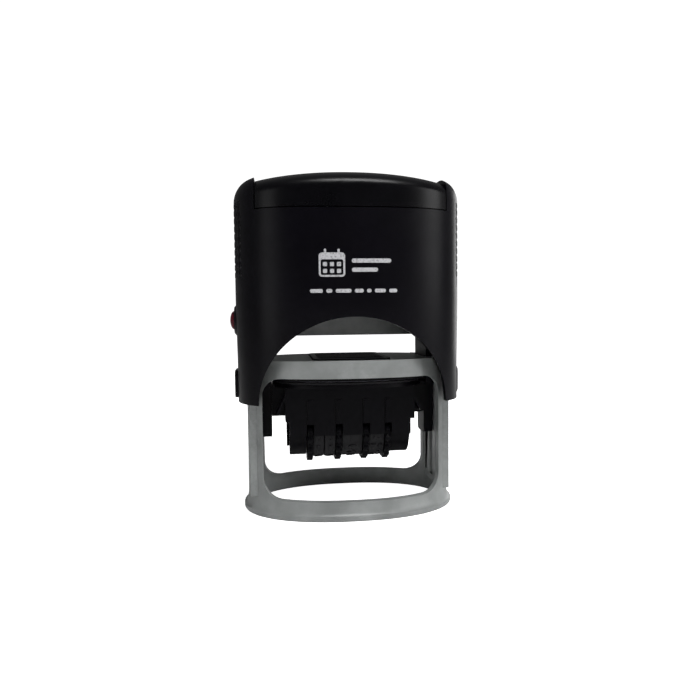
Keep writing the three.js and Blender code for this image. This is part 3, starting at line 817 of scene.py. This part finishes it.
def side_surface(side, heights, base):
    """A curved slab on the casing's side. heights(y, z) is its outer face's height above the casing's
    outline, and base is its inner face's."""
    cells = 10
    columns = int(2 * KNURL_HALF / KNURL_PITCH * cells)
    rows = int((KNURL_Z[1] - KNURL_Z[0]) / KNURL_PITCH * cells)
    n = SQUIRCLE
    verts = []
    for layer in (0, 1):
        for j in range(rows + 1):
            z = KNURL_Z[0] + (KNURL_Z[1] - KNURL_Z[0]) * j / rows
            for i in range(columns + 1):
                y = KNURL_HALF * (2 * i / columns - 1)
                share = abs(y) / CASE_B
                x = CASE_A * (1 - share**n) ** (1 / n)
                slope = math.copysign(share ** (n - 1), y) / CASE_B
                normal = Vector(((x / CASE_A) ** (n - 1) / CASE_A, slope))
                normal.normalize()
                lift = heights(y, z) if layer else base
                verts.append((side * (x + normal.x * lift), y + normal.y * lift, z))
    wide = columns + 1
    layer_size = wide * (rows + 1)
    faces = []
    for layer in (0, layer_size):
        for j in range(rows):
            for i in range(columns):
                a = layer + j * wide + i
                faces.append((a, a + 1, a + wide + 1, a + wide))
    rim = list(range(wide))
    rim += [j * wide + columns for j in range(1, rows + 1)]
    rim += [rows * wide + i for i in range(columns - 1, -1, -1)]
    rim += [j * wide for j in range(rows - 1, 0, -1)]
    for k, a in enumerate(rim):
        b = rim[(k + 1) % len(rim)]
        faces.append((a, b, b + layer_size, a + layer_size))
    return mesh_object("side_surface", verts, faces)


def knurl(y, z):
    """Height of the grip's blunt pyramids, in rows with grooves between them."""
    across = 2 * abs(y / KNURL_PITCH - round(y / KNURL_PITCH))
    row = (z - KNURL_Z[0]) / KNURL_PITCH - 0.5
    up = 2 * abs(row - round(row))
    peak = min(1.0, 1.7 * max(0.0, 1 - 0.5 * (across + up) - 0.12))
    return KNURL_DEEP * (peak - 1) + 0.05


def casing():
    """The casing with a knurled patch let into each side."""
    shell = soften(case_shell(), 0.4, 3)
    for side in (1, -1):
        shell = cut(shell, side_surface(side, lambda y, z: 1.0, -0.9))
        shell = join(shell, side_surface(side, knurl, -1.3))
    shell = shade(shell, 30)
    place(shell, "casing_shell", "casing", "satin_black", "casing")


def round_off(value):
    """Turns a circle's coordinate into the cap's superellipse's."""
    return math.copysign(abs(value) ** (2 / CAP_ROUND), value)


def cap_loops(inset, low):
    """Cross sections of the cap along X: upright walls under a top that is domed both ways."""
    steps = 48
    half = CAP_HALF - inset
    rise = CAP_HIGH.z - CAP_END
    loops = []
    for i in range(steps + 1):
        x = half * (2 * i / steps - 1)
        share = (x / CAP_HALF) ** 2
        deep = (CASE_B - inset - 0.05) * (1 - (abs(x) / CASE_A) ** SQUIRCLE) ** (1 / SQUIRCLE)
        height = CAP_HIGH.z - CAP_BROW - share
        spring = CAP_HIGH.z - inset - rise * share - height
        curve = arc(0, 0, 1, 0, 180, steps)
        top = [(deep * round_off(p.x), spring + height * round_off(p.y)) for p in curve]
        section = [(deep, low), *top, (-deep, low)]
        loops.append([(x, *p) for p in section])
    return loops


def index_window():
    """Clip-on cap over the index card, with an apron that hangs down in front and behind."""
    outside = loft(cap_loops(0.0, APRON_LOW))
    hollow = loft(cap_loops(CAP_WALL, APRON_LOW - 5))
    under = prism(case_outline(CAP_WALL - 0.1), 0, SEAT_Z + 0.1)
    cap = soften(cut(outside, hollow, under), 0.35, 3)
    place(cap, "index_cap", "window", "gloss_black", "index_window")


def index_card():
    """Card under the cap with a thin printed frame."""
    half = CAP_HALF - CAP_WALL - 0.5
    thick, ink = 0.35, 0.05
    sheet = prism(case_outline(3.0), SEAT_Z, SEAT_Z + thick)
    room = prism(centred_rect(half, CASE_B, 1.0), SEAT_Z - PAST, SEAT_Z + PAST)
    sheet = boolean(sheet, [room], "INTERSECT")
    x, y, line = half - 2.5, 10, 0.5
    frame_line = prism(centred_rect(x, y, 1.5), SEAT_Z + thick - ink, SEAT_Z + thick + ink)
    x, y = x - line, y - line
    inside = prism(centred_rect(x, y, 1.2), SEAT_Z, SEAT_Z + PAST)
    card_piece = join(sheet, cut(frame_line, inside))
    place(shade(card_piece), "index_card_sheet", "casing", "card", "index_card")


def side_clip(side, word):
    """Oblong catch in the casing's side with a hollow for a fingertip."""
    outline = rounded_rect(-CLIP_HALF, CLIP_HALF, *CLIP_Z, 1.6)
    body = prism(outline, *side_range(side, CASE_A - CLIP_DEEP, CASE_A + 0.6), "X")
    rim = 1.2
    hollow = rounded_rect(-CLIP_HALF + rim, CLIP_HALF - rim, CLIP_Z[0] + rim, CLIP_Z[1] - rim, 1.0)
    hollow = prism(hollow, *side_range(side, CASE_A + 0.35, CASE_A + 2 * PAST), "X")
    clip = soften(cut(body, hollow), 0.25)
    place(clip, "catch_" + word, "casing", "satin_black", "side_clip_" + word)


def push_button(side, crown, point, name, body, slot, node):
    """Button with a collar behind the wall. crown is how far its tip rises, point how sharp it is."""
    tip = -LOCK_LOW.x
    inner = CASE_A - 0.8
    profile = [(BUTTON_COLLAR, inner), (BUTTON_COLLAR, inner + 0.5), (BUTTON_R, inner + 0.5)]
    profile.append((BUTTON_R, tip - crown))
    for k in range(1, 10):
        t = math.radians(10 * k)
        profile.append((BUTTON_R * abs(math.cos(t)) ** point + 0.02, tip - crown + crown * math.sin(t)))
    place(shade(at_button(profile, side), 40), name, body, slot, node)


def patch(x0, x1, z0, z1, r):
    """A round-cornered bar through the casing's front wall."""
    return prism(rounded_rect(x0, x1, z0, z1, r, 5), -CASE_B - PAST, -CASE_B + 3, "Y")


def calendar_sign(x, z, wide, high):
    """A page with six days and two rings."""
    line, day, step = 0.5, 1.1, 1.85
    page = patch(x, x + wide, z, z + high, 0.9)
    page = cut(page, patch(x + line, x + wide - line, z + line, z + high - 1.8, 0.5))
    days = []
    for column in range(3):
        for row in range(2):
            x0, z0 = x + 1.1 + step * column, z + 1.0 + 1.8 * row
            days.append(patch(x0, x0 + day, z0, z0 + day, 0.2))
    rings = [patch(x0, x0 + 0.6, z + high - 0.2, z + high + 1, 0.28) for x0 in (x + 1.4, x + wide - 2)]
    return join(page, *days, *rings)


def printed_mark():
    """Generic silver print on the casing's front: a calendar sign and rows of plain dashes."""
    rules = [patch(-0.8, 9.8, 70.3, 71.4, 0.5), patch(-0.8, 6.2, 67.9, 69.0, 0.5)]
    dashes = []
    x, low = -12.0, 62.4
    for length in (3.4, 1.6, 4.2, 2.4, 1.2, 3.0, 2.2):
        dashes.append(patch(x, x + length, low, low + 1, 0.45))
        x += length + 0.9
    mark = join(calendar_sign(-9.6, 66.6, 7.0, 6.4), *rules, *dashes)
    skin = cut(prism(case_outline(-0.06), 60, 75), prism(case_outline(0.25), 59, 76))
    mark = boolean(mark, [skin], "INTERSECT")
    place(shade(mark), "front_print", "casing", "card")
    mark.data.materials[0] = silver_ink("silver_print")


# ---------------- yoke


def yoke_leg(side):
    """Leg beside the platen, narrower below, with a round foot and a shallow panel outside."""
    low, top = YOKE_LOW.z, YOKE_HIGH.z
    arm, arm_top, r, fillet = 4.0, 36.0, 1.5, 1.2
    outline = [Vector((LEG_HALF, arm_top)), Vector((LEG_HALF, top)), Vector((-LEG_HALF, top))]
    outline.append(Vector((-LEG_HALF, arm_top)))
    outline += reversed(arc(-arm - fillet, arm_top - fillet, fillet, 0, 90, 6))
    outline += arc(-arm + r, low + r, r, 180, 270, 8)
    outline += arc(arm - r, low + r, r, 270, 360, 8)
    outline += reversed(arc(arm + fillet, arm_top - fillet, fillet, 90, 180, 6))
    leg = prism(outline, *side_range(side, *LEG_X), "X")
    panel = rounded_rect(-LEG_HALF + 2, LEG_HALF - 2, arm_top + 4, top - 8, 1.5)
    return cut(leg, prism(panel, *side_range(side, LEG_X[1] - 0.6, LEG_X[1] + PAST), "X"))


def yoke():
    """Legs, the roof plate under the casing's top and a spigot inside each spring."""
    roof = box((-LEG_X[1], LEG_X[1]), (YOKE_LOW.y, YOKE_HIGH.y), (ROOF_Z, YOKE_HIGH.z))
    spigots = both_sides(lambda side: bar(2.2, ROOF_Z - 4.5, YOKE_HIGH.z, (side * SPRING_X, 0), "Z"))
    whole = join(roof, *both_sides(yoke_leg), *spigots)
    reach = LEG_X[1] + PAST
    whole = cut(whole, bar(AXLE_R + FIT, -reach, reach, (0, AXLE_Z)))
    place(soften(whole, 0.22), "carriage_yoke", "casing", "black_plastic", "yoke")


# ---------------- platen

BODY_HALF, BODY_D, BODY_WALL = 17.7, HOUSING_HIGH.y, 1.0
BODY_Z = (21.6, HOUSING_HIGH.z)
STEP_HALF, STEP_Z = 18.9, 26.0
CHEEK_X, CHEEK_R = 13.7, 6.6
WING_X, WING_Z, WING_D = HOUSING_HIGH.x + 0.42, 27.7, 5.0
DATE_HALF, DATE_D = 13.4, 3.3
FACE_Z = RUBBER_HIGH.z
DISC_R, DISC_W, DISC_TEETH, TOOTH = 8.5, 1.7, 16, 0.7
DRUM_R = 6.2
SLOT_TOP, RIB_TOP = SHAFT_Z + 3.7, 32.0
BAND_R, BAND_THICK, BAND_RELIEF, BAND_LIP = 6.5, 0.75, 0.25, 0.12
BAND_POINTS = 180
NOSE_R, NOSE_PIN, NOSE_HALF, PIN_END = 1.5, 0.7, 13.2, 15.0
NOSE_Z = FACE_Z - NOSE_R - FIT - BAND_THICK - BAND_RELIEF
WHEELS = ("day_tens", "day_units", "month", "year")
WHEEL_ENDS = {1: span("year_wheel")[1].x, -1: -span("day_tens_wheel")[0].x}


def disc_span(wheel):
    """Where a wheel's toothed disc lies along X: the end that its band doesn't cover."""
    wheel_low, wheel_high = span(wheel + "_wheel")
    band_low, band_high = span(wheel + "_band")
    if band_low.x - wheel_low.x > wheel_high.x - band_high.x:
        return wheel_low.x, wheel_low.x + DISC_W
    return wheel_high.x - DISC_W, wheel_high.x


def gusset(side):
    """Slanting web on a wing's front and back."""
    outline = [(BODY_HALF - 0.6, BODY_Z[1]), (BODY_HALF + 0.3, BODY_Z[1])]
    outline += [(WING_X - 1.2, WING_Z + 0.5), (WING_X - 2.1, WING_Z + 0.5)]
    return prism([Vector((side * x, z)) for x, z in outline], -BODY_D, BODY_D, "Y")


def housing_side(side):
    """Cheek that carries the shaft, the stepped end and the wing out to the yoke."""
    cheek = box(side_range(side, CHEEK_X, BODY_HALF), (-CHEEK_R, CHEEK_R), (SHAFT_Z, BODY_Z[1]))
    edge = WHEEL_ENDS[side] + FIT
    end = bar(CHEEK_R, *side_range(side, edge, BODY_HALF), (0, SHAFT_Z), steps=64)
    step = box(side_range(side, BODY_HALF - 1, STEP_HALF), (-BODY_D, BODY_D), (STEP_Z, BODY_Z[1]))
    wing = box(side_range(side, STEP_HALF - 1, WING_X), (-WING_D, WING_D), (WING_Z, BODY_Z[1]))
    top = BODY_Z[1]
    crest = box(side_range(side, WING_X - 1, WING_X), (-WING_D, WING_D), (top - 1, top + 0.8))
    hub = bar(AXLE_R + 0.7, *side_range(side, STEP_HALF - 1, WING_X), (0, AXLE_Z))
    return join(cheek, end, step, wing, crest, hub, gusset(side))


def mechanism_housing():
    """Box round the date wheels, slotted for their discs, with a rib above each slot."""
    wall = BODY_D - BODY_WALL
    shell = box((-BODY_HALF, BODY_HALF), (-BODY_D, BODY_D), BODY_Z)
    shell = cut(
        shell,
        box((-CHEEK_X, CHEEK_X), (-wall, wall), (0, BODY_Z[1] - BODY_WALL)),
        box((-DATE_HALF, DATE_HALF), (-DATE_D, DATE_D), (0, FACE_Z)),
    )
    shell = join(shell, *both_sides(housing_side))
    ribs, slots = [], []
    deep = BODY_D + PAST
    for wheel in WHEELS:
        low, high = disc_span(wheel)
        for way in (1, -1):
            proud = side_range(way, BODY_D - 0.3, BODY_D + 0.4)
            ribs.append(box((low, high), proud, (SLOT_TOP - 1, RIB_TOP)))
        slots.append(box((low - 2 * SNUG, high + 2 * SNUG), (-deep, deep), (0, SLOT_TOP)))
    ends = BODY_HALF + PAST
    bores = [
        bar(SHAFT_HIGH.y + SNUG, -ends, ends, (0, SHAFT_Z)),
        bar(NOSE_PIN + SNUG, -PIN_END - SNUG, PIN_END + SNUG, (0, NOSE_Z)),
    ]
    for side in (1, -1):
        across = side_range(side, BODY_HALF - PAST, WING_X + PAST)
        bores.append(bar(AXLE_R + SNUG, *across, (0, AXLE_Z)))
    shell = cut(join(shell, *ribs), *bores, *slots)
    place(soften(shell, 0.2), "date_housing", "platen", "black_plastic", "mechanism_housing")


def die_plate():
    """Oval plate with an opening for the date."""
    plate = prism(oval(DIE_HIGH.x, DIE_HIGH.y, OVAL, 200), DIE_LOW.z, DIE_HIGH.z)
    opening = prism(centred_rect(DATE_HALF, DATE_D, 0.6), 0, FACE_Z + PAST)
    plate = soften(cut(plate, opening), 0.3, 3)
    place(plate, "die_holder", "platen", "black_plastic", "die_plate")


def text_rubber():
    """Printing rubber: raised borders round the edge and round the date, and plain ruled bars."""
    a, b = RUBBER_HIGH.x, RUBBER_HIGH.y
    low, relief = RUBBER_LOW.z, 0.25
    rim, bar_half = 0.7, 0.6
    sheet = prism(oval(a, b, OVAL, 200), low, FACE_Z)
    sheet = cut(sheet, prism(oval(a - rim, b - rim, OVAL, 200), FACE_Z - relief, FACE_Z + PAST))
    half, deep = DATE_HALF + 1, DATE_D + 1
    border = prism(centred_rect(half, deep, 0.8), low, FACE_Z)
    bars = []
    for row, half in ((6.6, 11.0), (9.2, 7.5)):
        for y in (row, -row):
            bars.append(prism(rounded_rect(-half, half, y - bar_half, y + bar_half, 0.5), low, FACE_Z))
    opening = prism(centred_rect(DATE_HALF, DATE_D, 0.5), 0, FACE_Z + PAST)
    sheet = cut(join(sheet, border, *bars), opening)
    place(soften(sheet, 0.06), "print_rubber", "platen", "print_rubber", "text_rubber")


def toothed_outline():
    """Disc outline with square-cut teeth, in side view."""
    points = []
    step = 360 / DISC_TEETH
    for i in range(DISC_TEETH):
        start = i * step
        points += arc(0, SHAFT_Z, DISC_R, start + 0.2 * step, start + 0.6 * step, 4)
        points += arc(0, SHAFT_Z, DISC_R - TOOTH, start + 0.78 * step, start + 1.02 * step, 3)
    return points


def date_wheel(wheel):
    """Drum that drives a band, with a toothed disc at one end for a fingertip."""
    low, high = span(wheel + "_wheel")
    disc = soften(prism(toothed_outline(), *disc_span(wheel), "X"), 0.22)
    drum = bar(DRUM_R, low.x, high.x, (0, SHAFT_Z), steps=72, chamfer=0.25)
    bore = bar(SHAFT_HIGH.y + SNUG, low.x - PAST, high.x + PAST, (0, SHAFT_Z))
    wheel_piece = shade(cut(join(disc, drum), bore), 32)
    place(wheel_piece, wheel + "_drum", wheel, "black_plastic", wheel + "_wheel")


def band_path(grow):
    """Points round the drum and the nose bar, in side view (y, z)."""
    big, small = BAND_R + grow, NOSE_R + FIT + grow
    tilt = math.degrees(math.asin((big - small) / (NOSE_Z - SHAFT_Z)))
    loop = arc(0, SHAFT_Z, big, 180 - tilt, 360 + tilt, 60)
    loop += arc(0, NOSE_Z, small, tilt, 180 - tilt, 30)
    return even(loop, BAND_POINTS)


def band_point(path, share, height):
    """The place at a share of the way round the path, raised by height."""
    at = share % 1.0 * len(path)
    a, b = path[int(at) % len(path)], path[(int(at) + 1) % len(path)]
    point = a.lerp(b, at - int(at))
    ahead = (b - a).normalized()
    return point + Vector((ahead.y, -ahead.x)) * height


def character(text, width, height):
    """A mirrored number as vertices and faces of a flat slab, centred, cut into strips so that it
    can bend round the band."""
    curve = bpy.data.curves.new("character", "FONT")
    curve.body = text
    curve.extrude = 0.5
    curve.resolution_u = 3
    flat = bpy.data.objects.new("character", curve)
    bpy.context.scene.collection.objects.link(flat)
    bpy.context.view_layer.update()
    mesh = bpy.data.meshes.new_from_object(flat.evaluated_get(bpy.context.evaluated_depsgraph_get()))
    bpy.data.objects.remove(flat)
    xs = [v.co.x for v in mesh.vertices]
    ys = [v.co.y for v in mesh.vertices]
    middle = Vector(((min(xs) + max(xs)) / 2, (min(ys) + max(ys)) / 2, 0))
    scale_y = height / (max(ys) - min(ys))
    scale_x = min(width / (max(xs) - min(xs)), scale_y * 1.3)
    bm = bmesh.new()
    bm.from_mesh(mesh)
    bmesh.ops.remove_doubles(bm, verts=bm.verts, dist=1e-5)
    for vertex in bm.verts:
        offset = vertex.co - middle
        vertex.co = (-offset.x * scale_x, offset.y * scale_y, offset.z)
    strips = 6
    for k in range(1, strips):
        level = height * (k / strips - 0.5)
        everything = bm.verts[:] + bm.edges[:] + bm.faces[:]
        bmesh.ops.bisect_plane(bm, geom=everything, plane_co=(0, level, 0), plane_no=(0, 1, 0))
    verts = [v.co.copy() for v in bm.verts]
    faces = [[v.index for v in f.verts] for f in bm.faces]
    bm.free()
    return verts, faces


def date_band(wheel, labels):
    """Endless rubber band with a raised mirrored number at each step."""
    low, high = span(wheel + "_band")
    low.x -= SNUG
    high.x += SNUG
    outer, shoulder, inner = band_path(BAND_THICK), band_path(BAND_THICK - BAND_LIP), band_path(0.0)
    section = [(low.x, inner), (low.x, shoulder), (low.x + BAND_LIP, outer)]
    section += [(high.x - BAND_LIP, outer), (high.x, shoulder), (high.x, inner)]
    band = loft([[(x, *p) for p in path] for x, path in section], closed=True)
    around = sum((outer[i] - outer[i - 1]).length for i in range(len(outer)))
    pitch = around / len(labels)
    verts, faces = [], []
    for i, label in enumerate(labels):
        glyph, glyph_faces = character(label, high.x - low.x - 0.8, 0.72 * pitch)
        start = len(verts)
        for v in glyph:
            share = (i + 0.5) / len(labels) - v.y / around
            lift = BAND_RELIEF if v.z > 0 else -0.3
            y, z = band_point(outer, share, lift)
            verts.append(((low.x + high.x) / 2 + v.x, y, z))
        faces += [[start + k for k in face] for face in glyph_faces]
    numbers = mesh_object("numbers", verts, faces)
    band = shade(join(band, numbers))
    place(band, wheel + "_number_band", "platen", "band_rubber", wheel + "_band")


def lobed_outline(r, depth, lobes):
    """A wavy circle round the shaft, in side view."""
    outline = []
    count = lobes * 6
    for i in range(count):
        t = 2 * math.pi * i / count
        reach = r + depth * math.cos(lobes * t)
        outline.append(Vector((reach * math.cos(t), SHAFT_Z + reach * math.sin(t))))
    return outline


def axle_pin(word):
    low, high = span("axle_pin_" + word)
    pin = bar(AXLE_R, low.x, high.x, (0, AXLE_Z), steps=56, chamfer=0.25)
    place(shade(pin), "pivot_pin_" + word, "platen", "spring_steel", "axle_pin_" + word)


def shaft_cap(word):
    """Knurled cap with a blind bore for the shaft's end."""
    low, high = span("shaft_cap_" + word)
    knob = prism(lobed_outline(3.8, 0.2, 24), low.x, high.x, "X")
    reach = SHAFT_HIGH.x + 0.05
    knob = cut(knob, bar(SHAFT_HIGH.y + SNUG, -reach, reach, (0, SHAFT_Z)))
    name = "knurled_cap_" + word
    place(shade(knob, 50), name, "platen", "black_plastic", "shaft_cap_" + word)


def setting_shaft():
    shaft = bar(SHAFT_HIGH.y, SHAFT_LOW.x, SHAFT_HIGH.x, (0, SHAFT_Z), chamfer=0.2)
    place(shade(shaft), "wheel_shaft", "platen", "spring_steel", "setting_shaft")


def nose_bar():
    """Bar that turns the bands at the printing face, with a thin pin at each end."""
    nose = bar(NOSE_R, -NOSE_HALF, NOSE_HALF, (0, NOSE_Z), chamfer=0.2)
    nose = join(nose, bar(NOSE_PIN, -PIN_END, PIN_END, (0, NOSE_Z), chamfer=0.1))
    place(shade(nose), "nose_bar", "platen", "black_plastic", "band_nose_bar")


base_frame()
ink_cartridge()
ink_felt()
casing()
index_window()
index_card()
printed_mark()
push_button(-1, 1.2, 1.0, "red_lock_button", "lock", "red_plastic", "lock_button")
push_button(1, 1.8, 1.6, "black_release_button", "release", "satin_black", "release_button")
yoke()
mechanism_housing()
die_plate()
text_rubber()
for side, word in ((-1, "left"), (1, "right")):
    return_spring(side, word)
    side_clip(side, word)
    axle_pin(word)
    shaft_cap(word)
setting_shaft()
nose_bar()
date_band("day_tens", list("0123") * 3)
date_band("day_units", list("0123456789") + ["0", "1"])
date_band("month", [str(n) for n in range(1, 13)])
date_band("year", [str(n) for n in range(26, 38)])
for wheel in WHEELS:
    date_wheel(wheel)


# ---------------- stage, light and camera


def floor():
    """Pale floor, lit for the camera so that it runs into the background without a horizon."""
    n = Nodes("pale_floor")
    n.set("Base Color", (0.9, 0.9, 0.9))
    n.set("Roughness", 0.7)
    n.set("Specular IOR Level", 0.1)
    path = n.add("ShaderNodeLightPath")
    n.set("Emission Color", (1.0, 1.0, 1.0))
    n.set("Emission Strength", path.outputs["Is Camera Ray"])
    half = 4000.0
    corners = [(-half, -half, 0), (half, -half, 0), (half, half, 0), (-half, half, 0)]
    plane = mesh_object("floor", corners, [(0, 1, 2, 3)])
    plane.data.materials.append(n.owner)


def softbox(name, stands_at, look_at, size, power, only=None):
    """A rectangular area light. It lights everything, or only one object."""
    light = bpy.data.lights.new(name, "AREA")
    light.shape = "RECTANGLE"
    light.size, light.size_y = size
    light.energy = power
    obj = bpy.data.objects.new(name, light)
    obj.location = stands_at
    obj.rotation_euler = (Vector(look_at) - Vector(stands_at)).to_track_quat("-Z", "Y").to_euler()
    bpy.context.scene.collection.objects.link(obj)
    if only:
        lit = bpy.data.collections.new(name)
        lit.objects.link(bpy.data.objects[only])
        obj.light_linking.receiver_collection = lit


def world():
    """White for the camera. Everything else sees a dim tent, brightest at its sides and roof, less
    so behind the object and dark where the camera stands."""
    n = Nodes("tent", "worlds")
    bpy.context.scene.world = n.owner
    split = n.add("ShaderNodeSeparateXYZ")
    n.link(n.coordinates["Generated"], split.inputs["Vector"])
    x, y, z = split.outputs
    sideways = n.math("POWER", n.math("ABSOLUTE", x, 0.0), 3.0)
    upward = n.math("POWER", n.math("MAXIMUM", z, 0.0), 2.0)
    behind = n.math("MAXIMUM", y, 0.0)
    tent = 0.01
    for part, power in ((sideways, 0.25), (upward, 0.15), (behind, 0.12)):
        tent = n.math("ADD", n.math("MULTIPLY", part, power), tent)
    mix = n.add("ShaderNodeMix", data_type="FLOAT")
    n.link(n.add("ShaderNodeLightPath").outputs["Is Camera Ray"], mix.inputs["Factor"])
    n.link(tent, mix.inputs["A"])
    mix.inputs["B"].default_value = 1.1
    n.set("Strength", mix.outputs["Result"])
    n.set("Color", (1.0, 1.0, 1.0))


def camera():
    """Stands a little left of the front, close to the object and just above its middle."""
    eye = Vector((-20.7, -182.9, 56.4)) * MM
    turn, down, tilt = math.radians(6.78), math.radians(3.27), math.radians(-0.65)
    ahead = Vector((math.sin(turn) * math.cos(down), math.cos(turn) * math.cos(down), -math.sin(down)))
    level = Vector((math.cos(turn), -math.sin(turn), 0.0))
    above = level.cross(ahead)
    right = level * math.cos(tilt) + above * math.sin(tilt)
    up = right.cross(ahead)
    data = bpy.data.cameras.new("camera")
    data.sensor_width = 36.0
    data.lens = 31.27
    data.clip_start = 0.005
    obj = bpy.data.objects.new("camera", data)
    columns = Matrix((right, up, -ahead)).transposed()
    obj.matrix_world = Matrix.Translation(eye) @ columns.to_4x4()
    bpy.context.scene.collection.objects.link(obj)
    bpy.context.scene.camera = obj


floor()
world()
camera()
softbox("softbox_top", (0.07, -0.22, 0.51), (0.0, 0.0, 0.05), (0.16, 0.22), 2.3)
softbox("softbox_left", (-0.45, -0.4, 0.1), (0.0, 0.0, 0.05), (0.2, 0.3), 0.5)
softbox("softbox_right", (0.5, -0.33, 0.22), (0.0, 0.0, 0.03), (0.25, 0.3), 1.5)
softbox("softbox_low", (0.05, -0.6, 0.02), (0.0, 0.0, 0.05), (0.3, 0.1), 0.3, "frame_shell")
softbox("softbox_back", (0.5, 0.45, 0.15), (0.0, 0.0, 0.05), (0.3, 0.3), 0.8)
bpy.context.scene.view_settings.view_transform = "Standard"
